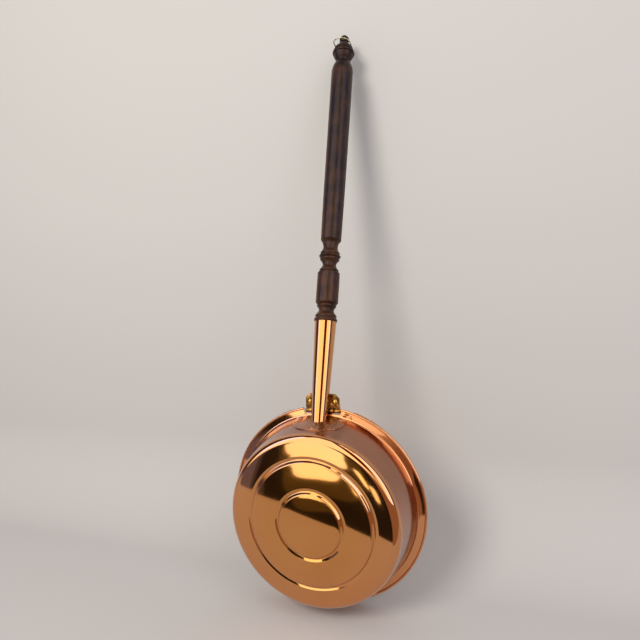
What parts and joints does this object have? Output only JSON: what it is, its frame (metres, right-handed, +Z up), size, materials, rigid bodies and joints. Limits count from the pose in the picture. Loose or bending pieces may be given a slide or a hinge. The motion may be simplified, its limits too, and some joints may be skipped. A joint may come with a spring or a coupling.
{
  "type": "bed warming pan",
  "caption": "Round copper pan with stepped bottom, flat brim and hinged vented lid, on a tapered ferrule and a turned wooden handle with a hanging ring.",
  "frame": {"origin": "centre of the outer face of the pan's flat bottom, with the pan standing on its rim", "axes": "+Z up along the pan's face towards the handle, +Y from the pan's bottom to its lid, +X to the right as seen from the bottom's side"},
  "size_m": [0.28, 0.2545, 0.8304],
  "materials": {
    "copper": "polished and lacquered copper sheet",
    "brass": "tarnished yellow brass",
    "wood": "dark stained and waxed turned hardwood",
    "ring_wire": "pale polished brass wire"
  },
  "bodies": {
    "pan": {"pan_bowl": "copper", "ferrule": "copper", "ferrule_flange": "copper", "flange_rivets": "copper", "hinge_bracket": "brass", "hinge_fixed_leaf": "brass", "hinge_rivets": "brass", "hinge_pin": "brass", "handle": "wood", "handle_screw": "brass"},
    "lid": {"lid_shell": "copper", "hinge_lid_leaf": "brass", "lid_rivets": "brass"},
    "ring": {"hanging_ring": "ring_wire"}
  },
  "joints": [
    {"name": "lid_hinge", "type": "hinge", "parent": "pan", "child": "lid", "pos_m": [0, 0.074, 0.133], "axis": [1, 0, 0], "range_deg": [0, 139]},
    {"name": "ring_swing", "type": "hinge", "parent": "pan", "child": "ring", "pos_m": [0, 0.2421, 0.67082], "axis": [-1, 0, 0], "range_deg": [0, 195]}
  ]
}
